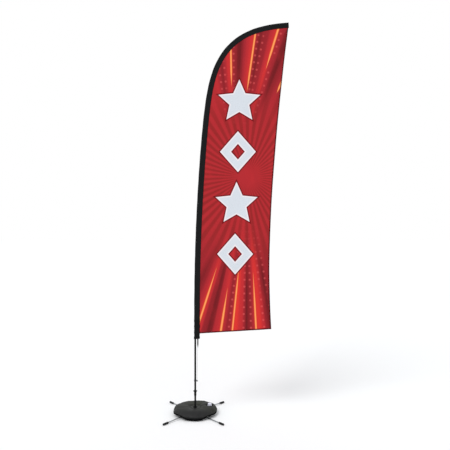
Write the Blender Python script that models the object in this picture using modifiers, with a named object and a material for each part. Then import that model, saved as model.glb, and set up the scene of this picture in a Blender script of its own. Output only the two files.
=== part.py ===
"""Feather flag with pole: a tall curved banner on a folding cross base, held down by a water ring.

Metres, +Z up. The origin is on the pole's axis at the floor. +X is the side the flag flies to.
"""
import math

import bmesh
import bpy
import numpy as np
from mathutils import Matrix, Vector

# ---- driving dimensions -------------------------------------------------------------------------
GAP = 0.0003                    # between neighbouring solids

# the bent pole: straight and upright, then leaning a little, then bent over into a hook
LEAN_START = 1.11               # length along the pole where it starts to lean
LEAN_RATE = 2.41                # degrees of lean for each metre of pole
HOOK_TURN = 80.0                # degrees that the hook turns the pole through
HOOK_MIDDLE = 4.215             # length along the pole at the middle of the hook
HOOK_SPREAD = 0.387             # how gradually the hook bends
POLE_TIP = 4.895                # length along the pole at its upper end
STATION = 0.1                   # spacing of the cross-sections along the bent pole

# folding cross base
LEG_ANGLE = 47.0                # each leg's direction, measured from the X axis
LEG_REACH = 0.465               # from the pole's axis to a boot's end
LEG_RADIUS = 0.006
BOOT_RADIUS = 0.011
BOOT_LENGTH = 0.070
HUB_RADIUS = 0.035
HUB_INNER = 0.0135              # where a leg's inner end sits in its hub
PAD_TOP = 0.0030
LOWER_HUB = (0.0033, 0.0200)
WASHER = (0.0203, 0.0213)
UPPER_HUB = (0.0216, 0.0385)
UPPER_LEG_HEIGHT = 0.0300       # height of an upper leg's axis inside its hub
SET_SCREW_REACH = 0.024         # distance of a leg's set screw from the pole's axis

# stem, bearing and spindle
STEM = (0.0388, 0.2000)
STEM_RADIUS = 0.0105
HOUSING = (0.2003, 0.2425)
HOUSING_RADIUS = 0.0135
BEARING = (0.2321, 0.2391)
BALL_CIRCLE = 0.0075
FLANGE = (0.2480, 0.2575)
FLANGE_RADIUS = 0.021
PIN_TOP = 0.380
PIN_RADIUS = 0.0076
GRIP_RINGS = (0.305, 0.360)

# pole sections
TUBE_RADIUS = 0.0105
TUBE_BORE = 0.0092
PLUG_RADIUS = 0.0086            # the spigot, and the middle section that plugs into the tube
MIDDLE_BORE = 0.0062
TOP_RADIUS = 0.0058
TIP_RADIUS = 0.0035
JOINTS = (1.400, 2.500, 3.400)  # where one section ends and the next begins
OVERLAP = 0.100                 # how far one section plugs into another
STOP_RING = 0.006

# flag
SLEEVE_WIDTH = 0.064            # flat width of the sleeve, from its outer edge to its seam
SLEEVE_WALL = 0.0008
BULGE_LOW = 0.0128              # radius of the sleeve round the pole, low down and at the tip
BULGE_TIP = 0.0073
SEAM_HALF = 0.0020
SEAM_REACH = SLEEVE_WIDTH - BULGE_LOW
CUFF = (0.834, 1.0437)
SLEEVE = (1.0440, 4.7000)
POCKET = (4.7003, 4.9030)
PANEL_WALL = 0.0008
PANEL_FOOT_INNER = 0.894        # height of the panel's lower edge at the sleeve
PANEL_FOOT_OUTER = 0.942        # and at its free edge
PANEL_TOP = 4.300               # height of the free edge's upper end
WAIST_HEIGHT = 1.60             # the free edge comes nearest the pole here
WAIST_X = 0.827
TOP_FLARE = 0.211
FOOT_FLARE = 0.022
PANEL_COLUMNS = 4

# tension cord
TAB = (0.754, 0.8337)
TAB_X = 0.029
NOTCH_X = 0.021
LUG = (0.3675, 0.3715)
BALL_RADIUS = 0.0055
CORD_RADIUS = 0.002
CLAMP = (0.3600, 0.3760)

# water ring
BAG_RADIUS = 0.240
BAG_HOLE = 0.041
BAG_MIDDLE = 0.046              # height of the welded edge
BAG_RISE = 0.036                # from the welded edge to the top
BAG_SEGMENTS = 48
BAG_RINGS = 14
BAG_SQUARENESS = 2.5
BAG_OVER_LOWER_LEG = 0.0195
BAG_SAG = 0.0050
COLLAR_BORE = 0.0375
COLLAR_LIP = 0.0560
COLLAR_RISE = 0.0275            # from the welded edge to the collar's lip
NECK_XY = (0.160, 0.036)
NECK_SEAT = 0.0775
NECK_BORE = 0.014
NECK_RADIUS = 0.0175
NECK_TOP = 0.0975
CAP_RADIUS = 0.021
CAP = (0.0805, 0.1025)
STRAP_Y = -0.072
STRAP_SIZE = (0.042, 0.026, 0.0015)
STRAP_TILT = 16.0

FINE_TURN = 24                  # facets round a turned piece
SMALL_TURN = 16                 # and round a small inner one

# ---- scene --------------------------------------------------------------------------------------
for old in list(bpy.data.objects):
    bpy.data.objects.remove(old, do_unlink=True)


def new_collection(name):
    collection = bpy.data.collections.new(name)
    bpy.context.scene.collection.children.link(collection)
    return collection


PARTS = new_collection("feather_flag")
CUTTERS = new_collection("cutters")


def material(name, colour, roughness, metallic=0.0):
    made = bpy.data.materials.new(name)
    made.use_nodes = True
    made.diffuse_color = (*colour, 1.0)
    shader = made.node_tree.nodes["Principled BSDF"]
    shader.inputs["Base Color"].default_value = (*colour, 1.0)
    shader.inputs["Roughness"].default_value = roughness
    shader.inputs["Metallic"].default_value = metallic
    return made


CHROME = material("chromed_steel", (0.62, 0.63, 0.64), 0.18, 1.0)
STEEL = material("plain_steel", (0.50, 0.50, 0.52), 0.32, 1.0)
BLACK_PAINT = material("black_paint", (0.014, 0.014, 0.015), 0.42)
BLACK_ANODISED = material("black_anodised", (0.020, 0.020, 0.022), 0.34, 0.6)
FIBREGLASS = material("black_fibreglass", (0.016, 0.016, 0.018), 0.40)
RUBBER = material("black_rubber", (0.012, 0.012, 0.013), 0.75)
NYLON = material("white_nylon", (0.72, 0.72, 0.70), 0.45)
BLACK_PLASTIC = material("black_plastic", (0.018, 0.018, 0.020), 0.45)
PVC = material("black_pvc", (0.055, 0.056, 0.050), 0.50)
WHITE_PLASTIC = material("white_plastic", (0.78, 0.78, 0.84), 0.40)
SLEEVE_CLOTH = material("black_cloth", (0.016, 0.018, 0.020), 0.85)
FLAG_CLOTH = material("printed_cloth", (0.46, 0.024, 0.030), 0.80)
ELASTIC = material("grey_elastic", (0.45, 0.45, 0.46), 0.70)


# ---- building blocks ----------------------------------------------------------------------------
def add_object(name, data, slot, collection=PARTS):
    made = bpy.data.objects.new(name, data)
    collection.objects.link(made)
    if slot is not None:
        data.materials.append(slot)
    return made


def mesh_from(name, build):
    """A mesh filled by build(bm)."""
    bm = bmesh.new()
    build(bm)
    mesh = bpy.data.meshes.new(name)
    bm.to_mesh(mesh)
    bm.free()
    return mesh


def turned(name, profile, slot, steps=FINE_TURN, ring=True):
    """A turned piece: (radius, height) points, outer side first, from the top down."""
    def build(bm):
        verts = [bm.verts.new((r, 0.0, z)) for r, z in profile]
        for a, b in zip(verts, verts[1:]):
            bm.edges.new((a, b))
        if ring:
            bm.edges.new((verts[-1], verts[0]))

    made = add_object(name, mesh_from(name, build), slot)
    screw = made.modifiers.new("turn", "SCREW")
    screw.axis = "Z"
    screw.angle = math.tau
    screw.steps = steps
    screw.render_steps = steps
    screw.use_merge_vertices = True
    screw.merge_threshold = 0.00001
    screw.use_smooth_shade = True
    return made


def ring_piece(name, inner, outer, low, high, slot, steps=FINE_TURN):
    return turned(name, [(outer, high), (outer, low), (inner, low), (inner, high)], slot, steps)


def rod_mesh(name, radius, low, high, sides=16):
    """A round bar along local Z, from low to high."""
    def build(bm):
        bmesh.ops.create_cone(bm, cap_ends=True, segments=sides, radius1=radius, radius2=radius,
                              depth=high - low,
                              matrix=Matrix.Translation((0, 0, (low + high) / 2)))

    return mesh_from(name, build)


def box_mesh(name, low, high):
    def build(bm):
        bmesh.ops.create_cube(bm, size=1.0)
        for vert in bm.verts:
            for axis in range(3):
                vert.co[axis] = low[axis] if vert.co[axis] < 0 else high[axis]

    return mesh_from(name, build)


def cutter(name, mesh, matrix=None):
    made = add_object(name, mesh, None, CUTTERS)
    made.display_type = "WIRE"
    made.hide_render = True
    if matrix is not None:
        made.matrix_world = matrix
    return made


def combine(target, tool, operation="DIFFERENCE"):
    boolean = target.modifiers.new(tool.name, "BOOLEAN")
    boolean.operation = operation
    boolean.solver = "EXACT"
    boolean.object = tool


def smooth(made, angle=40.0):
    if made.type == "MESH":
        made.data.shade_smooth()
        made.data.set_sharp_from_angle(angle=math.radians(angle))


# ---- the bent centreline ------------------------------------------------------------------------
def heading(s):
    """The pole's direction at a length s along it, as an angle from upright towards +X."""
    lean = math.radians(LEAN_RATE) * max(0.0, s - LEAN_START)
    spread = HOOK_SPREAD * math.sqrt(2.0)
    hook = math.radians(HOOK_TURN) * 0.5 * (1.0 + math.erf((s - HOOK_MIDDLE) / spread))
    return lean + hook


FINE = np.linspace(0.0, 5.0, 2001)
FINE_HEADING = np.array([heading(s) for s in FINE])
FINE_STEP = FINE[1] - FINE[0]
FINE_X = np.concatenate([[0.0], np.cumsum(np.sin((FINE_HEADING[1:] + FINE_HEADING[:-1]) / 2))])
FINE_Z = np.concatenate([[0.0], np.cumsum(np.cos((FINE_HEADING[1:] + FINE_HEADING[:-1]) / 2))])


def centre(s):
    return Vector((np.interp(s, FINE, FINE_X) * FINE_STEP, 0.0, np.interp(s, FINE, FINE_Z) * FINE_STEP))


def outward(s):
    """Unit vector across the pole, away from the flag."""
    angle = heading(s)
    return Vector((-math.cos(angle), 0.0, math.sin(angle)))


def stations(low, high):
    """Cross-section positions: both ends, and every STATION between them once the pole leans."""
    first = math.ceil((max(low, LEAN_START) + 0.02) / STATION)
    last = math.floor((high - 0.02) / STATION)
    return [low] + [k * STATION for k in range(first, last + 1)] + [high]


def along_pole(made, s):
    """Stand a piece made along Z on the pole's centreline at s."""
    made.location = centre(s)
    made.rotation_euler = (0.0, heading(s), 0.0)


def pole_rod(name, low, high, radius_at, slot, bore=None):
    """A rod or tube that follows the bent centreline."""
    curve = bpy.data.curves.new(name, "CURVE")
    curve.dimensions = "3D"
    curve.bevel_depth = 1.0
    curve.bevel_resolution = 4
    curve.use_fill_caps = bore is None
    places = stations(low, high)
    spline = curve.splines.new("POLY")
    spline.points.add(len(places) - 1)
    for point, s in zip(spline.points, places):
        point.co = (*centre(s), 1.0)
        point.radius = radius_at(s)
    made = add_object(name, curve, slot)
    if bore is not None:
        wall = made.modifiers.new("wall", "SOLIDIFY")
        wall.thickness = radius_at(low) - bore
        wall.offset = -1.0
    return made


# ---- folding cross base -------------------------------------------------------------------------
def leg_frame(angle, height, tilt):
    """A frame at the leg's inner end: Z runs out along the leg, X points down, Y is level."""
    turn = Matrix.Rotation(math.radians(angle), 4, "Z")
    level = Matrix.Rotation(math.radians(90.0) + tilt, 4, "Y")
    return turn @ Matrix.Translation((HUB_INNER, 0.0, height)) @ level


def make_leg(tag, angle, height, tilt, hub):
    """One leg: the rod in its hub socket, its rubber boot and its set screw."""
    frame = leg_frame(angle, height, tilt)
    length = (LEG_REACH - HUB_INNER) / math.cos(tilt)

    rod = add_object("leg_rod_" + tag, rod_mesh("leg_rod", LEG_RADIUS, 0.0, length - 0.0053), CHROME)
    rod.matrix_world = frame
    smooth(rod)

    bore = LEG_RADIUS + GAP
    start = length - BOOT_LENGTH
    profile = [(bore, length - 0.005), (0.0, length - 0.005), (0.0, length),
               (BOOT_RADIUS - 0.003, length), (BOOT_RADIUS, length - 0.003),
               (BOOT_RADIUS, start + 0.008), (BOOT_RADIUS - 0.0025, start), (bore, start)]
    profile = profile[2:] + profile[:2]
    boot = turned("leg_boot_" + tag, profile, RUBBER, 16, ring=False)
    boot.matrix_world = frame

    along = SET_SCREW_REACH - HUB_INNER
    side = frame @ Matrix.Translation((0.0, 0.0, along)) @ Matrix.Rotation(math.radians(-90), 4, "X")
    screw_end = math.sqrt(HUB_RADIUS ** 2 - SET_SCREW_REACH ** 2) - 0.0005
    screw = add_object("leg_screw_" + tag,
                       rod_mesh("leg_screw", 0.0024, LEG_RADIUS + GAP, screw_end, 12), STEEL)
    screw.matrix_world = side
    smooth(screw)

    socket = rod_mesh("socket", LEG_RADIUS + GAP, -GAP, 0.040)
    combine(hub, cutter("socket_" + tag, socket, frame))
    screw_hole = rod_mesh("screw_hole", 0.0027, 0.001, 0.040, 12)
    combine(hub, cutter("screw_hole_" + tag, screw_hole, side))


def make_base():
    chamfer = 0.0015
    low, high = UPPER_HUB
    upper = turned("hub_upper", [
        (HUB_RADIUS - chamfer, high), (HUB_RADIUS, high - chamfer), (HUB_RADIUS, low),
        (0.0043, low), (0.0043, high)], BLACK_PAINT, 32)
    tilt = math.atan((UPPER_LEG_HEIGHT - BOOT_RADIUS) / (LEG_REACH - HUB_INNER))
    # the outer end's lowest edge is what meets the floor
    tip_height = BOOT_RADIUS * math.cos(tilt)
    height = tip_height + (LEG_REACH - HUB_INNER) * math.tan(tilt)
    make_leg("upper_right", LEG_ANGLE, height, tilt, upper)
    make_leg("upper_left", LEG_ANGLE + 180.0, height, tilt, upper)

    low, high = LOWER_HUB
    lower = turned("hub_lower", [
        (HUB_RADIUS, high), (HUB_RADIUS, low + chamfer), (HUB_RADIUS - chamfer, low),
        (0.0080, low), (0.0080, 0.0090), (0.0044, 0.0090), (0.0044, high)], BLACK_PAINT, 32)
    make_leg("lower_right", -LEG_ANGLE, BOOT_RADIUS, 0.0, lower)
    make_leg("lower_left", 180.0 - LEG_ANGLE, BOOT_RADIUS, 0.0, lower)

    turned("hub_pad", [(0.0, PAD_TOP), (0.0310, PAD_TOP), (0.0320, PAD_TOP - 0.001),
                       (0.0320, 0.0), (0.0, 0.0)], RUBBER, 32, ring=False)
    ring_piece("pivot_washer", 0.0044, 0.0300, *WASHER, NYLON, SMALL_TURN)
    turned("pivot_bolt", [(0.0, 0.0475), (0.0034, 0.0475), (0.0040, 0.0469), (0.0040, 0.0086),
                          (0.0070, 0.0086), (0.0072, 0.0060), (0.0060, 0.0036), (0.0, 0.0036)],
           STEEL, SMALL_TURN, ring=False)
    nut = add_object("pivot_nut", rod_mesh("pivot_nut", 0.0075, 0.0388, 0.0453, 6), STEEL)
    combine(nut, cutter("nut_bore", rod_mesh("nut_bore", 0.0043, 0.030, 0.055, SMALL_TURN)))


def make_stem():
    low, high = STEM
    turned("stem_tube", [
        (STEM_RADIUS, high), (STEM_RADIUS, low + 0.006), (0.0160, low + 0.004), (0.0170, low + 0.003),
        (0.0170, low), (0.0087, low), (0.0087, high)], BLACK_PAINT)
    low, high = HOUSING
    turned("bearing_housing", [
        (HOUSING_RADIUS - 0.0008, high), (HOUSING_RADIUS, high - 0.0008), (HOUSING_RADIUS, low + 0.008),
        (STEM_RADIUS + 0.001, low), (0.0080, low), (0.0080, 0.2305), (0.0114, 0.2305),
        (0.0114, high)], BLACK_PAINT)
    turned("spindle_bush", [
        (0.0109, 0.2318), (0.0109, 0.2308), (0.0077, 0.2308), (0.0077, 0.2120),
        (0.0042, 0.2120), (0.0042, 0.2318)], NYLON, SMALL_TURN)
    ring_piece("bearing_outer_race", 0.0089, 0.0110, *BEARING, STEEL, SMALL_TURN)
    ring_piece("bearing_inner_race", 0.0042, 0.0061, *BEARING, STEEL, SMALL_TURN)
    ring_piece("dust_seal", 0.0065, 0.0110, BEARING[1] + GAP, 0.2412, RUBBER, SMALL_TURN)

    middle = sum(BEARING) / 2
    turns = [math.tau * k / 6 for k in range(6)]
    turned("ball_cage", [(BALL_CIRCLE + 0.0011 * math.cos(a), middle - 0.0011 * math.sin(a))
                         for a in turns], BLACK_PLASTIC, SMALL_TURN)


def make_spindle():
    groove_half = 0.00105
    profile = [(0.0, PIN_TOP), (PIN_RADIUS - 0.001, PIN_TOP), (PIN_RADIUS, PIN_TOP - 0.002)]
    for z in reversed(GRIP_RINGS):
        profile += [(PIN_RADIUS, z + groove_half), (0.0059, z + groove_half),
                    (0.0059, z - groove_half), (PIN_RADIUS, z - groove_half)]
    low, high = FLANGE
    profile += [(PIN_RADIUS, high), (FLANGE_RADIUS - 0.001, high), (FLANGE_RADIUS, high - 0.001),
                (FLANGE_RADIUS, low + 0.001), (FLANGE_RADIUS - 0.001, low), (0.0061, low),
                (0.0061, 0.2394), (0.0039, 0.2394), (0.0039, 0.2102), (0.0032, 0.2102),
                (0.0032, 0.2078), (0.0039, 0.2078), (0.0039, 0.2045), (0.0, 0.2045)]
    turned("spindle", profile, BLACK_PAINT, 24, ring=False)
    for tag, z in zip(("lower", "upper"), GRIP_RINGS):
        ring_piece("grip_ring_" + tag, 0.0062, 0.0077, z - 0.00075, z + 0.00075, RUBBER, SMALL_TURN)
    clip = ring_piece("spindle_circlip", 0.0035, 0.0062, 0.2082, 0.2098, STEEL, SMALL_TURN)
    mouth = box_mesh("clip_mouth", (0.0, -0.0015, 0.2070), (0.010, 0.0015, 0.2110))
    combine(clip, cutter("clip_mouth", mouth))


# ---- pole ---------------------------------------------------------------------------------------
def make_pole():
    first, second, third = JOINTS
    foot = FLANGE[1] + GAP
    turned("pole_foot_bush", [
        (TUBE_RADIUS, foot + 0.002), (TUBE_RADIUS, foot), (0.0080, foot), (0.0080, foot + 0.040),
        (0.0086, foot + 0.040), (0.0086, foot + 0.002)], BLACK_PLASTIC, SMALL_TURN)
    ring_above = STOP_RING + 2 * GAP

    pole_rod("pole_section_1", foot + 0.002 + GAP, first, lambda s: TUBE_RADIUS, BLACK_ANODISED,
             TUBE_BORE)
    pole_rod("pole_section_2", first + ring_above, second, lambda s: TUBE_RADIUS, BLACK_ANODISED,
             TUBE_BORE)
    pole_rod("pole_spigot", first - OVERLAP, first + OVERLAP, lambda s: PLUG_RADIUS, STEEL)
    pole_rod("pole_section_3", second - OVERLAP, third, lambda s: PLUG_RADIUS, FIBREGLASS,
             MIDDLE_BORE)

    def top_radius(s):
        share = max(0.0, (s - third - STOP_RING) / (POLE_TIP - third - STOP_RING))
        return TOP_RADIUS + (TIP_RADIUS - TOP_RADIUS) * share

    pole_rod("pole_section_4", third - OVERLAP, POLE_TIP, top_radius, FIBREGLASS)

    stops = ((first, PLUG_RADIUS, 0.0112), (second, PLUG_RADIUS, 0.0112), (third, TOP_RADIUS, 0.0088))
    for index, (s, inside, outside) in enumerate(stops, 1):
        stop = ring_piece(f"pole_stop_ring_{index}", inside + GAP, outside, 0.0, STOP_RING,
                          BLACK_PLASTIC, SMALL_TURN)
        along_pole(stop, s + GAP)

    cap = turned("pole_tip_cap", [
        (0.0, 0.0245), (0.0035, 0.0240), (0.0052, 0.0215), (0.0052, 0.0), (0.0041, 0.0),
        (0.0041, 0.0215), (0.0, 0.0215)], BLACK_PLASTIC, 16, ring=False)
    along_pole(cap, POLE_TIP - 0.021)


# ---- tension cord -------------------------------------------------------------------------------
def make_tension():
    low, high = CLAMP
    clamp = ring_piece("hook_clamp", TUBE_RADIUS + GAP, 0.0135, low, high, BLACK_PLASTIC)
    lug = cutter("clamp_lug", box_mesh("clamp_lug", (0.0120, -0.0070, LUG[0]), (0.0275, 0.0070, LUG[1])))
    notch = cutter("clamp_notch", box_mesh("clamp_notch", (NOTCH_X - 0.0026, -0.0026, low),
                                           (0.0300, 0.0026, high)))
    middle = (low + high) / 2
    sideways = Matrix.Translation((0, 0, middle)) @ Matrix.Rotation(math.radians(-90), 4, "Y")
    hole = cutter("clamp_hole", rod_mesh("clamp_hole", 0.0023, 0.008, 0.020, 12), sideways)
    combine(clamp, lug, "UNION")
    combine(clamp, notch)
    combine(clamp, hole)
    screw = add_object("clamp_screw",
                       rod_mesh("clamp_screw", 0.0020, TUBE_RADIUS + GAP, 0.0150, 12), STEEL)
    screw.matrix_world = sideways
    smooth(screw)

    def ball(bm):
        bmesh.ops.create_uvsphere(bm, u_segments=12, v_segments=8, radius=BALL_RADIUS)
    made = add_object("tension_ball", mesh_from("tension_ball", ball), BLACK_PLASTIC)
    made.location = (NOTCH_X, 0.0, LUG[0] - BALL_RADIUS - GAP)
    smooth(made)

    add_object("sleeve_tab", box_mesh("sleeve_tab", (TAB_X - 0.007, -0.0012, TAB[0]),
                                      (TAB_X + 0.007, 0.0012, TAB[1])), SLEEVE_CLOTH)
    curve = bpy.data.curves.new("bungee_cord", "CURVE")
    curve.dimensions = "3D"
    curve.bevel_depth = CORD_RADIUS
    curve.bevel_resolution = 2
    curve.use_fill_caps = True
    top = Vector((TAB_X, 0.0, TAB[0] - GAP))
    bottom = Vector((NOTCH_X, 0.0, LUG[0]))
    count = 32
    spline = curve.splines.new("POLY")
    spline.points.add(count - 1)
    for index, point in enumerate(spline.points):
        share = index / (count - 1)
        place = top.lerp(bottom, share)
        place.x = NOTCH_X + (TAB_X - NOTCH_X) * (1.0 - share) ** 1.5
        point.co = (*place, 1.0)
    add_object("bungee_cord", curve, ELASTIC)


# ---- flag ---------------------------------------------------------------------------------------
def smooth_step(low, high, value):
    share = min(1.0, max(0.0, (value - low) / (high - low)))
    return share * share * (3.0 - 2.0 * share)


def sleeve_bulge(s):
    return BULGE_LOW + (BULGE_TIP - BULGE_LOW) * smooth_step(2.7, 4.4, s)


def sleeve_section(bulge):
    """The sleeve's outline round the pole, drawn in to a flat seam: (outward, Y) pairs."""
    arc = np.radians(np.linspace(-105.0, 105.0, 9))
    points = [(bulge * math.cos(a), bulge * math.sin(a)) for a in arc]
    flank = (-0.5 * SEAM_REACH, 0.5 * bulge + 0.3 * SEAM_HALF)
    points += [flank, (-SEAM_REACH, SEAM_HALF), (-SEAM_REACH, -SEAM_HALF), (flank[0], -flank[1])]
    return points


def sleeve_piece(name, low, high, swell=0.0, closed_end=False):
    """A length of sleeve: a tube lofted between sections that change along the pole."""
    def build(bm):
        rings = []
        for s in stations(low, high):
            place, across = centre(s), outward(s)
            section = sleeve_section(sleeve_bulge(s) + swell)
            rings.append([bm.verts.new(place + across * n + Vector((0.0, y, 0.0))) for n, y in section])
        for lower, upper in zip(rings, rings[1:]):
            for k in range(len(lower)):
                after = (k + 1) % len(lower)
                bm.faces.new((lower[k], lower[after], upper[after], upper[k]))
        if closed_end:
            bm.faces.new(rings[-1])
        bmesh.ops.reverse_faces(bm, faces=bm.faces)

    made = add_object(name, mesh_from(name, build), SLEEVE_CLOTH)
    wall = made.modifiers.new("wall", "SOLIDIFY")
    wall.thickness = SLEEVE_WALL
    wall.offset = -1.0
    return made


def free_edge(z):
    """X of the flag's free edge at a height z."""
    if z > WAIST_HEIGHT:
        return WAIST_X + TOP_FLARE * ((z - WAIST_HEIGHT) / (PANEL_TOP - WAIST_HEIGHT)) ** 1.65
    return WAIST_X + FOOT_FLARE * ((WAIST_HEIGHT - z) / (WAIST_HEIGHT - PANEL_FOOT_OUTER)) ** 1.6


def panel_point(s, across):
    """A point of the flag: s along its seam, across from 0 at the seam to 1 at the free edge."""
    share = (s - PANEL_FOOT_INNER) / (POCKET[1] - PANEL_FOOT_INNER)
    seam = centre(s) - outward(s) * (SEAM_REACH + GAP)
    z = PANEL_FOOT_OUTER + (PANEL_TOP - PANEL_FOOT_OUTER) * share
    return seam.lerp(Vector((free_edge(z), 0.0, z)), across)


def make_flag():
    sleeve_piece("sleeve_cuff", *CUFF, swell=0.0006)
    sleeve_piece("pole_sleeve", *SLEEVE)
    sleeve_piece("sleeve_tip_pocket", *POCKET, closed_end=True)

    rows = stations(PANEL_FOOT_INNER, POCKET[1])

    def build(bm):
        bmesh.ops.create_grid(bm, x_segments=PANEL_COLUMNS, y_segments=len(rows) - 1, size=0.5)
        for vert in bm.verts:
            row = round((vert.co.y + 0.5) * (len(rows) - 1))
            vert.co = panel_point(rows[row], vert.co.x + 0.5)

    panel = add_object("flag_panel", mesh_from("flag_panel", build), FLAG_CLOTH)
    wall = panel.modifiers.new("wall", "SOLIDIFY")
    wall.thickness = PANEL_WALL
    wall.offset = 0.0


# ---- water ring ---------------------------------------------------------------------------------
def bag_underside(x, y):
    """Height of the ring's underside: over the upper legs, level with the lower legs at the
    sides, and sagging to the floor in front and behind."""
    radius = math.hypot(x, y)
    angle = math.radians(LEG_ANGLE)
    off_upper = abs(x * math.sin(angle) - y * math.cos(angle))
    slope = (UPPER_LEG_HEIGHT - BOOT_RADIUS) / (LEG_REACH - HUB_INNER)
    upper_top = UPPER_LEG_HEIGHT + LEG_RADIUS + 0.0012 - slope * (radius - HUB_INNER)
    azimuth = abs(math.degrees(math.atan2(abs(y), abs(x))) - 90.0)
    sag = smooth_step(90.0 - LEG_ANGLE - 2.0, 18.0, azimuth)
    floor = BAG_OVER_LOWER_LEG - (BAG_OVER_LOWER_LEG - BAG_SAG) * sag
    return upper_top + (floor - upper_top) * smooth_step(0.034, 0.070, off_upper)


def make_bag():
    middle = (BAG_RADIUS + BAG_HOLE) / 2
    half = (BAG_RADIUS - BAG_HOLE) / 2
    power = 2.0 / BAG_SQUARENESS

    def build(bm):
        section = []
        for k in range(BAG_RINGS):
            angle = -math.tau * k / BAG_RINGS
            c, s = math.cos(angle), math.sin(angle)
            section.append((math.copysign(abs(c) ** power, c), math.copysign(abs(s) ** power, s)))
        verts = [bm.verts.new((middle + half * c, 0.0, s)) for c, s in section]
        edges = [bm.edges.new((verts[k], verts[(k + 1) % BAG_RINGS])) for k in range(BAG_RINGS)]
        bmesh.ops.spin(bm, geom=verts + edges, axis=(0, 0, 1), cent=(0, 0, 0), angle=math.tau,
                       steps=BAG_SEGMENTS, use_merge=True)
        bmesh.ops.remove_doubles(bm, verts=bm.verts, dist=0.00001)
        bmesh.ops.recalc_face_normals(bm, faces=bm.faces)
        for vert in bm.verts:
            x, y, s = vert.co
            depth = BAG_MIDDLE - bag_underside(x, y)
            vert.co.z = BAG_MIDDLE + (BAG_RISE if s > 0 else depth) * s

    bag = add_object("weight_bag", mesh_from("weight_bag", build), PVC)
    seat = Matrix.Translation((*NECK_XY, 0.0))
    combine(bag, cutter("neck_seat", rod_mesh("neck_seat", 0.0250, NECK_SEAT, 0.130, 24), seat))

    # the collar lines the hole, with a lip that lies over the ring's inner shoulder
    outside, lip = BAG_HOLE - 0.0006, BAG_MIDDLE + COLLAR_RISE
    turned("bag_collar", [
        (COLLAR_LIP - 0.001, lip), (COLLAR_LIP, lip - 0.001), (COLLAR_LIP, lip - 0.0018),
        (outside, lip - 0.0018), (outside, BAG_MIDDLE - 0.002), (COLLAR_BORE, BAG_MIDDLE - 0.002),
        (COLLAR_BORE, lip)], BLACK_PLASTIC, 32)

    flange_top = NECK_SEAT + GAP + 0.0018
    flange = ring_piece("filler_flange", NECK_BORE, 0.0240, NECK_SEAT + GAP, flange_top, WHITE_PLASTIC)
    flange.location = (*NECK_XY, 0.0)
    neck = ring_piece("filler_neck", NECK_BORE, NECK_RADIUS, flange_top + GAP, NECK_TOP, WHITE_PLASTIC)
    neck.location = (*NECK_XY, 0.0)
    gasket = ring_piece("cap_gasket", 0.0143, 0.0175, NECK_TOP + GAP, NECK_TOP + GAP + 0.002, RUBBER)
    gasket.location = (*NECK_XY, 0.0)
    low, high = CAP
    ceiling = NECK_TOP + 3 * GAP + 0.002
    cap = turned("filler_cap", [
        (0.0, high), (CAP_RADIUS - 0.0015, high), (CAP_RADIUS, high - 0.0015), (CAP_RADIUS, low),
        (0.0181, low), (0.0181, ceiling), (0.0, ceiling)], WHITE_PLASTIC, 24, ring=False)
    cap.location = (*NECK_XY, 0.0)

    length, width, thick = STRAP_SIZE
    tilt = Matrix.Rotation(math.radians(-STRAP_TILT), 4, "X")
    frame = Matrix.Translation((0.0, STRAP_Y, 0.0782)) @ tilt
    strap = add_object("closing_strap", box_mesh("closing_strap", (-length / 2, -width / 2, 0.0),
                                                 (length / 2, width / 2, thick)), BLACK_PLASTIC)
    strap.matrix_world = frame
    stud = turned("strap_stud", [(0.0, thick + 0.0045), (0.0050, thick + 0.0040), (0.0085, thick + 0.0015),
                                 (0.0085, thick + GAP), (0.0, thick + GAP)], BLACK_PAINT, 20, ring=False)
    stud.matrix_world = frame


make_base()
make_stem()
make_spindle()
make_pole()
make_tension()
make_flag()
make_bag()
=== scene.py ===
"""Looks of the feather flag: printed cloth, sleeve, water ring, hardware, light and camera.

Everything is in metres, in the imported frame: the pole's foot is at the origin, +X is the side the
flag flies to, +Y points away from the camera.
"""

from functools import partialmethod
from math import (atan, atan2, copysign, cos, degrees, erf, exp, hypot, pi, radians, sin, sqrt, tan, tau)

import bmesh
import bpy
import numpy as np
from mathutils import Matrix, Vector, noise
from mathutils.bvhtree import BVHTree


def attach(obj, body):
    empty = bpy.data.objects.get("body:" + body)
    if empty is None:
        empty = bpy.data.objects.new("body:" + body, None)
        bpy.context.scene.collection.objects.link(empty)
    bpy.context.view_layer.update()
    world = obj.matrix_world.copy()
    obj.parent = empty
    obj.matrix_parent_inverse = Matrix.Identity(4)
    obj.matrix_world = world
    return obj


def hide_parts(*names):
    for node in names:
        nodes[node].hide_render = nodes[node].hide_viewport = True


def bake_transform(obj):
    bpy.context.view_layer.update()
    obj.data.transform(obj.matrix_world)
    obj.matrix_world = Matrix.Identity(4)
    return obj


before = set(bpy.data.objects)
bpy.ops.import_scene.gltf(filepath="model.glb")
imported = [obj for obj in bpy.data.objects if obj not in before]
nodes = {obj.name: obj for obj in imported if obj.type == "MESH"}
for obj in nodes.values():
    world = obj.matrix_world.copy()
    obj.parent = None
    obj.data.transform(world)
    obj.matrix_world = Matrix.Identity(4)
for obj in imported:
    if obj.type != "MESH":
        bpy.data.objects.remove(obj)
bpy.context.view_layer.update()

# ---- the part's own curve, repeated as a formula ----
LEAN_START = 1.11
LEAN_RATE = 2.41
HOOK_TURN = 80.0
HOOK_MIDDLE = 4.215
HOOK_SPREAD = 0.387
SLEEVE_WIDTH = 0.064
BULGE_LOW = 0.0128
BULGE_TIP = 0.0073
SEAM_REACH = SLEEVE_WIDTH - BULGE_LOW
SEAM_HALF = 0.002
CUFF = (0.834, 1.0437)
SLEEVE = (1.044, 4.7)
POCKET = (4.7003, 4.903)
PANEL_FOOT_INNER = 0.894
PANEL_FOOT_OUTER = 0.942
PANEL_TOP = 4.3
WAIST_HEIGHT = 1.6
WAIST_X = 0.827
TOP_FLARE = 0.211
FOOT_FLARE = 0.022
LEG_ANGLE = 47.0
LEG_REACH = 0.465
UPPER_LEG_HEIGHT = 0.03
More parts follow.
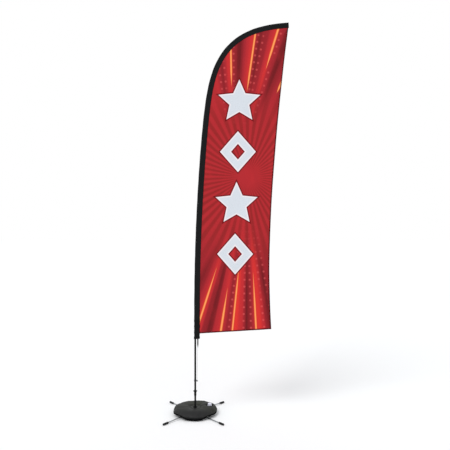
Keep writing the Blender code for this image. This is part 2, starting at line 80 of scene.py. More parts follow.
LEG_RADIUS = 0.006
BOOT_RADIUS = 0.011
BOOT_LENGTH = 0.07
HUB_INNER = 0.0135
TUBE_RADIUS = 0.0105
TUBE_BORE = 0.0092
BAG_MIDDLE = 0.046
NECK_XY = (0.16, 0.036)
NECK_SEAT = Matrix.Translation((*NECK_XY, 0.0))

FINE = np.linspace(0.0, 5.0, 2001)


def heading(s):
    """The pole's direction at a length s along it, as an angle from upright towards +X."""
    lean = radians(LEAN_RATE) * max(0.0, s - LEAN_START)
    spread = HOOK_SPREAD * sqrt(2.0)
    return lean + radians(HOOK_TURN) * 0.5 * (1.0 + erf((s - HOOK_MIDDLE) / spread))


FINE_HEADING = np.array([heading(s) for s in FINE])
HALF_WAY = (FINE_HEADING[1:] + FINE_HEADING[:-1]) / 2
FINE_X = np.concatenate([[0.0], np.cumsum(np.sin(HALF_WAY))]) * (FINE[1] - FINE[0])
FINE_Z = np.concatenate([[0.0], np.cumsum(np.cos(HALF_WAY))]) * (FINE[1] - FINE[0])


def centre(s):
    return Vector((np.interp(s, FINE, FINE_X), 0.0, np.interp(s, FINE, FINE_Z)))


def outward(s):
    angle = heading(s)
    return Vector((-cos(angle), 0.0, sin(angle)))


def smooth_step(low, high, value):
    share = min(1.0, max(0.0, (value - low) / (high - low)))
    return share * share * (3.0 - 2.0 * share)


# ---- materials ----
def srgb(red, green, blue):
    """A colour given as 0 to 255 display values, as linear light."""
    def linear(value):
        value /= 255.0
        return value / 12.92 if value <= 0.04045 else ((value + 0.055) / 1.055) ** 2.4
    return (linear(red), linear(green), linear(blue), 1.0)


def set_all(target, values):
    for label, value in values.items():
        setattr(target, label, value)


def add_node(tree, kind, inputs=(), **settings):
    """Adds a shader node. inputs pairs sockets with plain values, Values or other nodes' outputs."""
    made = tree.nodes.new("ShaderNode" + kind)
    set_all(made, settings)
    for label, value in inputs:
        value = getattr(value, "socket", value)
        if isinstance(value, bpy.types.NodeSocket):
            tree.links.new(value, made.inputs[label])
        else:
            made.inputs[label].default_value = value
    return made


class Value:
    """A number in a node tree, so that a pattern can be written as a formula."""

    def __init__(self, socket):
        self.socket = socket

    def math(self, operation, *others):
        made = add_node(self.socket.id_data, "Math", enumerate((self, *others)), operation=operation)
        return Value(made.outputs[0])

    __add__ = partialmethod(math, "ADD")
    __sub__ = partialmethod(math, "SUBTRACT")
    __mul__ = partialmethod(math, "MULTIPLY")
    __truediv__ = partialmethod(math, "DIVIDE")

    def fold(self, period):
        """Distance to the nearest multiple of period."""
        return ((self / period).math("FRACT") - 0.5).math("ABSOLUTE").math("SUBTRACT", 0.5) * -period

    def step(self, low, high, bottom=0.0, top=1.0):
        """Runs smoothly from bottom, at low, to top, at high."""
        if low > high:
            low, high, bottom, top = high, low, top, bottom
        ends = enumerate((self, low, high, bottom, top))
        made = add_node(self.socket.id_data, "MapRange", ends, interpolation_type="SMOOTHSTEP")
        return Value(made.outputs["Result"])


class Paint:
    """A material under construction: a Principled shader and the patterns that drive it."""

    def __init__(self, name, colour, roughness, metallic=0.0, **shader_values):
        self.material = bpy.data.materials.new(name)
        self.material.use_nodes = True
        self.material.diffuse_color = colour
        self.tree = self.material.node_tree
        self.shader = self.tree.nodes["Principled BSDF"].inputs
        shader_values.update(Base_Color=colour, Roughness=roughness, Metallic=metallic)
        for label, value in shader_values.items():
            self.shader[label.replace("_", " ")].default_value = value

    def output(self, name, kind, *inputs, **settings):
        return add_node(self.tree, kind, inputs, **settings).outputs[name]

    def place(self):
        """Position on the object, in metres."""
        return self.output("Object", "TexCoord")

    def uv(self, name):
        return self.output("UV", "UVMap", uv_map=name)

    def split(self, vector):
        return [Value(output) for output in add_node(self.tree, "SeparateXYZ", [(0, vector)]).outputs]

    def scaled(self, vector, scale):
        return self.output("Vector", "Mapping", ("Vector", vector), ("Scale", scale))

    def noise(self, vector, scale, detail=3.0, roughness=0.55):
        return Value(self.output("Fac", "TexNoise", ("Vector", vector), ("Scale", scale),
                                 ("Detail", detail), ("Roughness", roughness)))

    def mix(self, factor, low, high):
        """A colour between two colours, each a tuple or an earlier mix."""
        return self.output(2, "Mix", ("Factor", factor), (6, low), (7, high), data_type="RGBA")

    def ramp(self, value, stops):
        """A colour that runs through stops, each a position from 0 to 1 and a colour."""
        made = add_node(self.tree, "ValToRGB", [("Fac", value)])
        made.color_ramp.interpolation = "EASE"
        elements = made.color_ramp.elements
        for position, colour in stops[1:-1]:
            elements.new(position).color = colour
        for end in (0, -1):
            elements[end].position, elements[end].color = stops[end]
        return made.outputs["Color"]

    def colour(self, socket):
        self.tree.links.new(socket, self.shader["Base Color"])

    def roughness(self, value):
        self.tree.links.new(value.socket, self.shader["Roughness"])

    def bump(self, height, distance, strength=1.0):
        normal = self.output("Normal", "Bump", ("Strength", strength), ("Distance", distance),
                             ("Height", height))
        self.tree.links.new(normal, self.shader["Normal"])


def weave(paint, vector, pitch):
    """Height of a plain weave with threads that far apart: 0 in the gaps to 1 on the threads."""
    across, along, _ = paint.split(vector)
    rows = (across * (tau / pitch)).math("SINE")
    columns = (along * (tau / pitch)).math("SINE")
    return rows * columns * 0.5 + 0.5


def metal_paint(name, colour, roughness, speckle=900.0, spec=0.5):
    """Powder-coated or moulded surface: fine orange peel, a little uneven gloss."""
    paint = Paint(name, colour, roughness, Specular_IOR_Level=spec)
    place = paint.place()
    peel = paint.noise(place, speckle, 2.0)
    uneven = paint.noise(place, 14.0, 4.0)
    paint.roughness(uneven.step(0.3, 0.7, roughness - 0.06, roughness + 0.08))
    light = tuple(min(1.0, c * 1.7 + 0.004) for c in colour[:3]) + (1.0,)
    paint.colour(paint.mix(uneven.step(0.45, 0.75) * 0.5, colour, light))
    paint.bump(peel, 0.00012, 0.5)
    return paint.material


def bare_metal(name, colour, roughness):
    """Plated or brushed metal: fine drawn lines and faint smudges."""
    paint = Paint(name, colour, roughness, 1.0)
    place = paint.place()
    lines = paint.noise(paint.scaled(place, (3.0, 3.0, 260.0)), 9.0, 3.0)
    smudge = paint.noise(place, 22.0, 4.0)
    paint.roughness(smudge.step(0.3, 0.75, roughness, roughness + 0.16))
    dark = tuple(c * 0.72 for c in colour[:3]) + (1.0,)
    paint.colour(paint.mix(lines.step(0.35, 0.65) * 0.6, colour, dark))
    paint.bump(lines, 0.00005, 0.4)
    return paint.material


def rubber_paint(name, colour, roughness=0.72):
    paint = Paint(name, colour, roughness)
    place = paint.place()
    grain = paint.noise(place, 1400.0, 2.0)
    dust = paint.noise(place, 35.0, 5.0, 0.7)
    paint.colour(paint.mix(dust.step(0.52, 0.78) * 0.5, colour, srgb(84, 82, 78)))
    paint.roughness(dust.step(0.3, 0.7, roughness - 0.08, roughness + 0.12))
    paint.bump(grain, 0.0002, 0.6)
    return paint.material


def cloth_paint(name, colour, pitch=0.0012, fleck=(52, 54, 56)):
    """Woven polyester, with a fine weave and faint lighter flecks on the threads."""
    paint = Paint(name, colour, 0.82, Specular_IOR_Level=0.18, Sheen_Weight=0.04, Sheen_Roughness=0.5)
    place = paint.uv("cloth")
    threads = weave(paint, place, pitch)
    slub = paint.noise(paint.scaled(place, (1.0, 7.0, 1.0)), 60.0, 4.0)
    paint.colour(paint.mix((threads.step(0.5, 1.0) * slub.step(0.35, 0.7)) * 0.7, colour, srgb(*fleck)))
    paint.bump(threads * 0.6 + slub * 0.4, 0.0003, 0.6)
    return paint.material


def pvc_paint(name, rough=0.52):
    """Coated sheet of the water ring: dull olive, embossed grain, with painted shade: greyer and darker
    towards the front, near black where it turns under.
    """
    paint = Paint(name, srgb(62, 63, 59), rough, Specular_IOR_Level=0.12)
    place = paint.place()
    cloudy = paint.noise(place, 7.0, 5.0)
    grain = paint.noise(place, 900.0, 2.0)
    scrim = weave(paint, place, 0.0016)
    _, y, z = paint.split(place)
    tone = paint.mix(cloudy.step(0.35, 0.7), srgb(41, 41, 38), srgb(51, 52, 44))
    # painted shade: the sheet turns a darker neutral grey towards the front (-Y)
    front = paint.mix(y.step(0.02, -0.2), tone, srgb(42, 42, 42))
    # painted shade: near black low down, where the sheet turns under the ring
    paint.colour(paint.mix((z + y * 0.04).step(0.038, 0.02), front, srgb(10, 10, 11)))
    paint.roughness(cloudy.step(0.3, 0.75, rough - 0.05, rough + 0.09))
    paint.bump(grain * 0.6 + scrim * 0.4, 0.00022, 0.6)
    return paint.material


# the print: a sunburst on the cloth, in metres of cloth across (X) and up (Z)
BURST = (0.578, 2.641)
BURST_TOP = (0.44, 2.64)
RAY = radians(7.2)
# rays as degrees: tone, where 0 is maroon, 0.5 crimson, 1 scarlet; positive towards the free edge
RAYS_UP = {
    -30: 0.58, -24: 0.66, -14: 0.7, -10.5: 0.72, -8.2: 0.45, -6.6: 0.25, -5.2: 0.48, -3.3: 0.82,
    -1.7: 0.8, -0.6: 0.42, 0.6: 0.3, 1.6: 0.05, 2.5: 0.0, 3.3: 0.24, 4.4: 0.5, 5.6: 0.68, 7.2: 0.86,
    8.6: 0.6, 9.4: 0.3, 10.4: 0.13, 11.4: 0.32, 13.0: 0.38, 14.4: 0.7, 15.8: 0.86, 17.2: 0.55,
    18.6: 0.45, 19.8: 0.1, 20.8: 0.0, 22.4: 0.3, 26: 0.5, 33: 0.35}
RAYS_DOWN = {
    -35: 0.4, -28: 0.46, -24: 0.15, -22.5: 0.3, -20.5: 0.6, -18.6: 0.85, -17.2: 0.76, -16.2: 0.34,
    -15.2: 0.28, -14.2: 0.0, -13.2: 0.1, -12.2: 0.6, -9.7: 0.8, -8.6: 0.6, -7.6: 0.35, -6.6: 0.42,
    -5.6: 0.8, -4.4: 1.0, -3.0: 0.78, -2.0: 0.72, -1.2: 0.4, -0.2: 0.0, 0.6: 0.22, 1.5: 0.34,
    2.4: 0.55, 3.5: 0.9, 4.9: 0.95, 6.5: 0.7, 7.7: 0.3, 9.0: 0.02, 11: 0.35}
DOTS_UP = (-8.2, -5.4, -0.5, 9.5, 11.6, 17.8)
DOTS_DOWN = (-6.9, -1.4, 1.5, 6.5, 9.9)
DOT_PITCH = 0.0765
# streaks as thin end, far end, width, length of the taper
STREAKS = (
    (0.4045, 3.64, 0.3925, 4.32, 0.021, 0.2), (0.575, 3.58, 0.6877, 4.36, 0.021, 0.2),
    (0.783, 3.825, 0.959, 4.4, 0.025, 0.24), (0.903, 3.56, 1.0007, 3.79, 0.023, 0.1),
    (0.246, 1.65, 0.0203, 0.95, 0.023, 0.4), (0.363, 1.415, 0.2816, 0.9, 0.025, 0.34),
    (0.4895, 1.65, 0.411, 0.9, 0.019, 0.3), (0.645, 1.59, 0.6815, 0.9, 0.021, 0.4))
SHAPE_TOP = (0.492, 3.494)
SHAPE_PITCH = 0.571
SHAPE_LEAN = 0.0157
SHAPE_COUNT = 4
STAR_RADIUS = 0.246
STAR_WAIST = 0.47
DIAMOND_HIGH = 0.228
DIAMOND_WIDE = 0.2
STROKE = 0.092
OUTLINE = 0.013


def star_distance(x, z):
    """Distance outside a five-pointed star, negative inside it."""
    sector = radians(36.0)
    radius = (x * x + z * z).math("SQRT")
    angle = x.math("ARCTAN2", z).fold(2.0 * sector)
    waist = STAR_RADIUS * STAR_WAIST
    edge_x = waist * cos(sector) - STAR_RADIUS
    edge_y = waist * sin(sector)
    length = hypot(edge_x, edge_y)
    along = radius * angle.math("COSINE") - STAR_RADIUS
    beside = radius * angle.math("SINE")
    return along * (edge_y / length) + beside * (-edge_x / length)


def diamond_distance(x, z):
    """Distance outside a hollow diamond's band, negative in the band."""
    steep = DIAMOND_HIGH / DIAMOND_WIDE
    outer = (x.math("ABSOLUTE") * steep + z.math("ABSOLUTE") - DIAMOND_HIGH) / hypot(steep, 1.0)
    return outer.math("MAXIMUM", (outer + STROKE) * -1.0)


TONES = (0.0, 0.5, 0.75, 1.0)
TONE_RGB = ((112, 164, 192, 221), (23, 36, 43, 51), (28, 45, 48, 45))


def tone_colour(tone):
    """Maroon, crimson or scarlet, or a colour between them."""
    return srgb(*(float(np.interp(tone, TONES, values)) for values in TONE_RGB))


def rays(paint, turn, table):
    first, last = radians(min(table)), radians(max(table))
    share = (turn - first) / (last - first)
    return paint.ramp(share, [((radians(bearing) - first) / (last - first), tone_colour(tone))
                              for bearing, tone in table.items()])


def dot_rows(turn, radius, rows):
    """1 on round dots spaced evenly along rays at the angles in rows."""
    nearest = (turn - radians(rows[0])).math("ABSOLUTE")
    for bearing in rows[1:]:
        nearest = nearest.math("MINIMUM", (turn - radians(bearing)).math("ABSOLUTE"))
    beside = nearest * radius
    along = radius.fold(DOT_PITCH)
    return (beside * beside + along * along).math("SQRT").step(0.015, 0.0085)


def polar(x, z, middle, upwards):
    """Distance and angle from a point. The angle starts upright, or straight down if upwards is -1."""
    dx, dz = x - middle[0], z - middle[1]
    return (dx * dx + dz * dz).math("SQRT"), dx.math("ARCTAN2", dz * upwards)


def print_colour(paint, vector):
    """The sunburst, its streaks and dots, and the column of white shapes."""
    x, z, _ = paint.split(vector)
    radius, angle = polar(x, z, BURST, 1.0)
    cloudy = paint.noise(paint.scaled(vector, (5.0, 1.6, 1.0)), 1.3, 3.0)

    # dull rays in the middle, strong ones towards both ends
    ray = (angle + RAY * 0.42).fold(RAY) / (RAY / 2.0)
    ground = paint.mix(ray.step(0.25, 0.75) * radius.step(0.05, 0.22), srgb(178, 40, 46),
                       srgb(152, 35, 37))
    patchy = paint.noise(paint.scaled(vector, (3.0, 1.0, 1.0)), 2.7, 2.0).step(0.34, 0.48)
    for upwards, middle, table, rows in ((1.0, BURST_TOP, RAYS_UP, DOTS_UP),
                                         (-1.0, BURST, RAYS_DOWN, DOTS_DOWN)):
        distance, turn = polar(x, z, middle, upwards)
        share = ((z - BURST[1]) * upwards).step(0.45, 1.2)
        ground = paint.mix(share, ground, rays(paint, turn, table))
        dots = dot_rows(turn, distance, rows)
        ground = paint.mix(dots * share * patchy * 0.44, ground, srgb(230, 92, 92))
    ground = paint.mix(cloudy.step(0.5, 0.8) * 0.3, ground, srgb(196, 43, 46))

    # orange streaks
    for x0, z0, x1, z1, width, taper in STREAKS:
        length = hypot(x1 - x0, z1 - z0)
        lean, rise = (x1 - x0) / length, (z1 - z0) / length
        along = (x - x0) * lean + (z - z0) * rise
        aside = ((x - x0) * rise - (z - z0) * lean).math("ABSOLUTE")
        half = along.step(0.0, taper, 0.001, width / 2.0)
        inside = (aside - half).step(0.0016, -0.0016) * along.step(0.0, 0.05)
        core = (aside - half * 0.45).step(0.002, -0.001)
        ground = paint.mix(inside, ground, paint.mix(core, srgb(238, 128, 52), srgb(255, 160, 98)))

    # white shapes, alternately a star and a hollow diamond
    row = ((z * -1.0 + SHAPE_TOP[1]) / SHAPE_PITCH).math("ROUND")
    row = row.math("MAXIMUM", 0.0).math("MINIMUM", SHAPE_COUNT - 1.0)
    local_x = x + row * SHAPE_LEAN - SHAPE_TOP[0]
    local_z = z + row * SHAPE_PITCH - SHAPE_TOP[1]
    odd = (row * 0.5).math("FRACT").step(0.2, 0.3)
    star = star_distance(local_x, local_z + 0.012)
    gap = star + (diamond_distance(local_x, local_z) - star) * odd
    ground = paint.mix(gap.step(OUTLINE + 0.002, OUTLINE - 0.002), ground, srgb(116, 8, 16))
    inner = paint.mix(gap.step(-0.01, -0.016), srgb(238, 230, 233), srgb(213, 218, 225))
    return paint.mix(gap.step(0.0015, -0.0015), ground, inner)


def flag_paint(name, hem=False):
    """Printed flag polyester. A hem is darker along its outer edge, painted shade of its fold, with two
    rows of stitches.
    """
    paint = Paint(name, srgb(178, 40, 46), 0.78, Specular_IOR_Level=0.14)
    printed = print_colour(paint, paint.uv("print"))
    threads = weave(paint, paint.uv("print"), 0.0011)
    if hem:
        along, across, _ = paint.split(paint.uv("hem"))
        rows = (across - 0.5).math("ABSOLUTE")
        near = (rows - 0.3).math("ABSOLUTE").step(0.05, 0.02)
        stitch = along.fold(0.0042).step(0.0004, 0.0008) * near
        # painted shade: dark red over the outer part of the hem, standing for shade along its folded edge
        shade = paint.mix(across.step(0.7, 0.88, 0.9, 0.0), printed, srgb(78, 6, 11))
        height = paint.split(paint.uv("print"))[1]
        shade = paint.mix(height.step(4.257, 4.259), shade, srgb(15, 16, 17))
        paint.colour(paint.mix(stitch, shade, srgb(66, 10, 14)))
        paint.bump(threads * 0.25 + stitch, 0.0006, 0.7)
    else:
        paint.colour(printed)
        paint.bump(threads, 0.00018, 0.5)
    return paint.material


FLAG = flag_paint("flag_print")
FLAG_HEM = flag_paint("flag_hem", hem=True)
SLEEVE_CLOTH = cloth_paint("sleeve_cloth", srgb(14, 15, 16), fleck=(38, 40, 42))
CUFF_CLOTH = cloth_paint("cuff_cloth", srgb(8, 9, 10), 0.002, (28, 30, 32))
RING_PVC = pvc_paint("ring_pvc")
COLLAR_PVC = pvc_paint("collar_pvc", 0.44)
CHROME = bare_metal("leg_chrome", (0.4, 0.41, 0.42, 1.0), 0.24)
STEEL = bare_metal("bare_steel", (0.45, 0.45, 0.47, 1.0), 0.34)
BLACK_PAINT = metal_paint("satin_black", srgb(12, 12, 13), 0.48, spec=0.2)
POLE_BLACK = bare_metal("anodised_black", (0.007, 0.007, 0.008, 1.0), 0.42)
FIBRE = metal_paint("fibreglass_black", srgb(22, 22, 24), 0.42, 400.0)
RUBBER = rubber_paint("leg_rubber", srgb(11, 11, 12))
BLACK_PLASTIC = metal_paint("moulded_black", srgb(22, 22, 24), 0.46, 700.0)
NYLON = metal_paint("white_nylon_moulding", srgb(214, 214, 208), 0.5, 700.0)
CAP_WHITE = metal_paint("cap_white", srgb(226, 225, 238), 0.42, 700.0)
CORD_GREY = cloth_paint("cord_grey", srgb(196, 196, 198), 0.001, (222, 222, 222))
WEBBING = cloth_paint("webbing_black", srgb(16, 17, 18), 0.0022, (40, 42, 44))
# near black with almost no specular: real welded PVC, darkened further as painted shade along the ring's
# rim and lower edge
WELD_PVC = metal_paint("weld_pvc", srgb(4, 4, 5), 0.66, 500.0, spec=0.03)
THREAD = rubber_paint("thread_black", srgb(30, 31, 33), 0.6)


# ---- object and mesh helpers ----
def add_object(data, paint=None):
    """An object that shares its mesh's, camera's or lamp's name."""
    made = bpy.data.objects.new(data.name, data)
    bpy.context.scene.collection.objects.link(made)
    if paint:
        data.materials.append(paint)
    return made


def add_modifier(made, kind, **settings):
    added = made.modifiers.new(kind.lower(), kind)
    set_all(added, settings)
    return added


def piece(mesh, paint, body, slot, *stands_for, at=None):
    """A painted object that moves with a body."""
    made = add_object(mesh, paint)
    if at is not None:
        made.matrix_world = at
    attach(made, body)
    if stands_for:
        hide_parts(*stands_for)
    return made


def grid_mesh(name, columns, rows, place, wrap=False, uvs=None):
    """A sheet of quads: place(i, j) gives the point, and uvs names maps of functions of (i, j)."""
    mesh = bpy.data.meshes.new(name)
    across = columns if wrap else columns + 1
    points = [place(i, j) for j in range(rows + 1) for i in range(across)]
    corners = [[(i, j), (i + 1, j), (i + 1, j + 1), (i, j + 1)]
               for j in range(rows) for i in range(columns)]
    faces = [[j * across + i % across for i, j in face] for face in corners]
    mesh.from_pydata(points, [], faces)
    for label, function in (uvs or {}).items():
        layer = mesh.uv_layers.new(name=label)
        layer.data.foreach_set("uv", [c for face in corners for i, j in face for c in function(i, j)])
    mesh.shade_smooth()
    return mesh


def turned(name, profile, sides, paint, body, slot, *stands_for, closed=False, bulge=None, at=None):
    """A turned piece from (radius, height) points. bulge(angle, radius, z) may change a radius."""
    count = len(profile)

    def place(i, j):
        angle = tau * i / sides
        radius, z = profile[j % count]
        if bulge:
            radius = bulge(angle, radius, z)
        return (radius * cos(angle), radius * sin(angle), z)

    mesh = grid_mesh(name, sides, count if closed else count - 1, place, wrap=True)
    clean(mesh)
    mesh.set_sharp_from_angle(angle=radians(38.0))
    return piece(mesh, paint, body, slot, *stands_for, at=at)


def clean(mesh, caps=False):
    """Merge doubled points, close open ends if asked, and turn the faces outwards."""
    bm = bmesh.new()
    bm.from_mesh(mesh)
    bmesh.ops.remove_doubles(bm, verts=bm.verts, dist=1e-6)
    if caps:
        bmesh.ops.holes_fill(bm, edges=[e for e in bm.edges if e.is_boundary])
    bmesh.ops.recalc_face_normals(bm, faces=bm.faces)
    bm.to_mesh(mesh)
    bm.free()
    mesh.shade_smooth()


THREAD_RADIUS = 0.00028


def make_stitches(name, line, body):
    """A row of small raised stitches along a line of points."""
    points = [Vector(p) for p in line]
    mesh = bpy.data.meshes.new(name)
    bm = bmesh.new()
    for a, b in zip(points, points[1:]):
        along = b - a
        turn = along.to_track_quat("Z", "Y").to_matrix().to_4x4()
        stretch = Matrix.Diagonal((1, 1, 0.4 * along.length / THREAD_RADIUS, 1))
        lie = Matrix.Translation((a + b) / 2) @ turn @ stretch
        bmesh.ops.create_uvsphere(bm, u_segments=8, v_segments=6, radius=THREAD_RADIUS, matrix=lie)
    bm.to_mesh(mesh)
    bm.free()
    mesh.shade_smooth()
    piece(mesh, THREAD, body, "black_cloth")


def thicken(made, thickness, offset=0.0):
    add_modifier(made, "SOLIDIFY", thickness=thickness, offset=offset)
    return made


# ---- flag cloth ----
def free_edge(z):
    if z > WAIST_HEIGHT:
        return WAIST_X + TOP_FLARE * ((z - WAIST_HEIGHT) / (PANEL_TOP - WAIST_HEIGHT)) ** 1.65
    return WAIST_X + FOOT_FLARE * ((WAIST_HEIGHT - z) / (WAIST_HEIGHT - PANEL_FOOT_OUTER)) ** 1.6


TUCK = 0.006                    # how far the cloth runs into the sleeve's seam


def panel_point(share, across):
    """A point of the cloth: share runs up the seam from 0 to 1, across from the seam to the edge."""
    s = PANEL_FOOT_INNER + (POCKET[1] - PANEL_FOOT_INNER) * share
    seam = centre(s) - outward(s) * (SEAM_REACH - TUCK)
    z = PANEL_FOOT_OUTER + (PANEL_TOP - PANEL_FOOT_OUTER) * share
    return seam.lerp(Vector((free_edge(z), 0.0, z)), across)


def drape(point, share, across):
    """How far the cloth stands off its flat plane: long soft folds and small puckers."""
    fan = sin(tau * (1.3 * across + 2.1 * share)) * sin(pi * share)
    long_fold = 0.0085 * across * fan
    tension = 0.003 * across * sin(tau * (3.1 * across - 4.4 * share + 0.2))
    sag = noise.noise(Vector((point.x * 4.5, 0.0, point.z * 1.3))) * 0.0045 * across ** 0.7
    seam_pucker = 0.0013 * sin(point.z * 88.0 + 3.0 * noise.noise(point * 9.0))
    edge_flutter = 0.0035 * across ** 6 * sin(point.z * 6.1 + 1.0)
    held = smooth_step(0.008, 0.055, across) * smooth_step(0.99, 0.972, share)
    return held * (long_fold + tension + sag + edge_flutter + seam_pucker * exp(-across / 0.05))


def cloth_point(share, across):
    point = panel_point(share, across)
    point.y = drape(point, share, across)
    return point


def flat_xz(share, across):
    """Where a point of the cloth lies on the print."""
    flat = panel_point(share, across)
    return flat.x, flat.z


def length_of(points):
    return sum((b - a).length for a, b in zip(points, points[1:]))


def make_panel():
    columns, rows = 64, 280
    mesh = grid_mesh("flag_cloth", columns, rows, lambda i, j: cloth_point(j / rows, i / columns),
                     uvs={"print": lambda i, j: flat_xz(j / rows, i / columns)})
    return thicken(piece(mesh, FLAG, "pole", "printed_cloth", "flag_panel"), 0.0007)


HEM = 0.018
HEM_THICK = 0.0022


def make_hem(name, rows, inside):
    """A folded hem along one edge. inside(t, w) gives (share, across) at a width w in from the edge."""
    columns = 6
    length = length_of([cloth_point(*inside(k / 200, 0.0)) for k in range(201)])

    def place(i, j):
        point = cloth_point(*inside(j / rows, HEM * i / columns))
        point.y += 0.0004 * sin(j * 0.9) + 0.0003 * sin(j * 0.37 + 1.0)
        return point

    mesh = grid_mesh(name, columns, rows, place, uvs={
        "print": lambda i, j: flat_xz(*inside(j / rows, HEM * i / columns)),
        "hem": lambda i, j: (length * j / rows, i / columns)})
    hem = thicken(piece(mesh, FLAG_HEM, "pole", "printed_cloth"), HEM_THICK)
    add_modifier(hem, "BEVEL", width=0.0008, segments=2)
    return hem


def make_hems():
    def width_at(share):
        return (panel_point(share, 1.0) - panel_point(share, 0.0)).length

    def height_at(across):
        step = 0.002
        return (panel_point(step, across) - panel_point(0.0, across)).length / step

    def inside_side(t, w):
        share = 0.9985 * t
        return share, 1.0 - min(0.98, w / width_at(share))

    def inside_foot(t, w):
        across = 0.01 + 0.99 * t
        return w / height_at(across), across

    return [make_hem("hem_side", 340, inside_side), make_hem("hem_foot", 90, inside_foot)]


# ---- sleeve ----
ARC_POINTS = 20
FLANK_POINTS = 8


def sleeve_bulge(s):
    return BULGE_LOW + (BULGE_TIP - BULGE_LOW) * smooth_step(2.7, 4.4, s)


def sleeve_section(bulge, draw_in):
    """(outward, Y) pairs round the sleeve, from the lower seam corner round the pole and back."""
    turn = radians(105.0)
    start_n, start_y = bulge * cos(turn), bulge * sin(turn)
    upper = []
    for k in range(FLANK_POINTS):
        share = (k + 1) / FLANK_POINTS
        upper.append((start_n + (draw_in - SEAM_REACH - start_n) * share,
                      SEAM_HALF + (start_y - SEAM_HALF) * (1.0 - share) ** 1.25))
    round_pole = [(bulge * cos(a), bulge * sin(a)) for a in np.linspace(-turn, turn, ARC_POINTS)]
    return [(n, -y) for n, y in reversed(upper)] + round_pole + upper


def sleeve_piece(name, span, rows, shape, paint, stands_for, wall=0.0008, closed_end=False):
    """A length of sleeve. shape(s) gives its bulge, how far its seam draws in, and a ripple."""
    low, high = span
    count = ARC_POINTS + 2 * FLANK_POINTS

    def place(i, j):
        s = low + (high - low) * j / rows
        bulge, draw_in, ripple = shape(s)
        n, y = sleeve_section(bulge, draw_in)[i % count]
        puff = ripple(n, y) / max(1e-6, hypot(max(n, 0.0), y))
        return centre(s) + outward(s) * (n + puff * max(n, 0.0)) + Vector((0, y + puff * y, 0))

    def cloth_uv(i, j):
        return 0.004 * i, low + (high - low) * j / rows

    mesh = grid_mesh(name, count, rows, place, wrap=True, uvs={"cloth": cloth_uv})
    if closed_end:
        bm = bmesh.new()
        bm.from_mesh(mesh)
        ends = [e for e in bm.edges if e.is_boundary and (e.verts[0].co - centre(high)).length < 0.06]
        bmesh.ops.contextual_create(bm, geom=ends)
        bm.to_mesh(mesh)
        bm.free()
        mesh.shade_smooth()
    return thicken(piece(mesh, paint, "pole", "black_cloth", stands_for), wall, 1.0)


def make_sleeve():
    """The long sleeve, the gathered cuff at its foot and the pocket over the pole's tip."""
    def plain(s):
        wave = 0.0005 * sin(s * 31.0 + 2.0 * noise.noise(Vector((s * 3.0, 0, 0))))

        def ripple(n, y):
            near_seam = smooth_step(-0.02, -SEAM_REACH, n)
            pucker = 0.0008 * near_seam * sin(s * 170.0 + 4.0 * noise.noise(Vector((s * 8, y, 0))))
            return wave + pucker
        return sleeve_bulge(s), 0.0, ripple

    def gathered(s):
        up = s - CUFF[0]
        wander = 0.6 * noise.noise(Vector((s * 20.0, 3.0, 0)))
        gather = 0.0016 * sin(up * tau / 0.066 + 0.8 + wander)
        hem = 0.001 * smooth_step(0.022, 0.016, up)
        rounded = 0.01 * max(0.0, 1.0 - up / 0.012) ** 2
        draw_in = rounded - 0.9 * gather + 0.0006 * sin(s * 260.0)

        def ripple(n, y):
            crease = 0.0013 * noise.noise(Vector((n * 60.0, y * 40.0, s * 70.0)))
            fine = 0.0004 * noise.noise(Vector((n * 30.0, y * 20.0, s * 400.0)))
            return gather * 0.7 + hem + crease + fine - 0.1 * rounded
        return BULGE_LOW + 0.0006, draw_in, ripple

    def ribbed(s):
        rib = 0.0004 + 0.0005 * sin((s - POCKET[0]) * 420.0)
        return sleeve_bulge(s), 0.0, lambda n, y: rib

    return (sleeve_piece("sleeve_cloth", SLEEVE, 300, plain, SLEEVE_CLOTH, "pole_sleeve"),
            sleeve_piece("cuff_cloth", CUFF, 150, gathered, CUFF_CLOTH, "sleeve_cuff", 0.0009),
            sleeve_piece("tip_pocket_cloth", POCKET, 60, ribbed, CUFF_CLOTH, "sleeve_tip_pocket",
                         closed_end=True))


# ---- kept CAD pieces ----
PAINT_FOR = {
    "chromed_steel": CHROME, "plain_steel": STEEL, "black_paint": BLACK_PAINT,
    "black_anodised": POLE_BLACK, "black_fibreglass": FIBRE, "black_rubber": RUBBER,
    "white_nylon": NYLON, "black_plastic": BLACK_PLASTIC, "black_pvc": RING_PVC,
    "white_plastic": CAP_WHITE, "black_cloth": SLEEVE_CLOTH, "printed_cloth": FLAG,
    "grey_elastic": CORD_GREY}


def paint_cad():
    for node in nodes.values():
        for holder in node.material_slots:
            holder.material = PAINT_FOR[holder.material.name.split(".")[0]]
        node.data.shade_smooth()
        node.data.set_sharp_from_angle(angle=radians(36.0))
    for name in ("hub_upper", "hub_lower", "hook_clamp", "pivot_nut"):
        add_modifier(nodes[name], "BEVEL", width=0.0006, segments=2, limit_method="ANGLE",
                     angle_limit=radians(40.0))


# ---- folding cross ----
def leg_frame(angle, height, tilt):
    """A frame at the leg's inner end: Z runs out along the leg."""
    turn = Matrix.Rotation(radians(angle), 4, "Z")
    level = Matrix.Rotation(radians(90.0) + tilt, 4, "Y")
    return turn @ Matrix.Translation((HUB_INNER, 0.0, height)) @ level


def arc(centre_r, centre_z, radius, start, stop, steps=5):
    """Points of a rounded corner, angles from outward (0) towards up (90)."""
    turns = [radians(start + (stop - start) * k / steps) for k in range(steps + 1)]
    return [(centre_r + radius * cos(a), centre_z + radius * sin(a)) for a in turns]


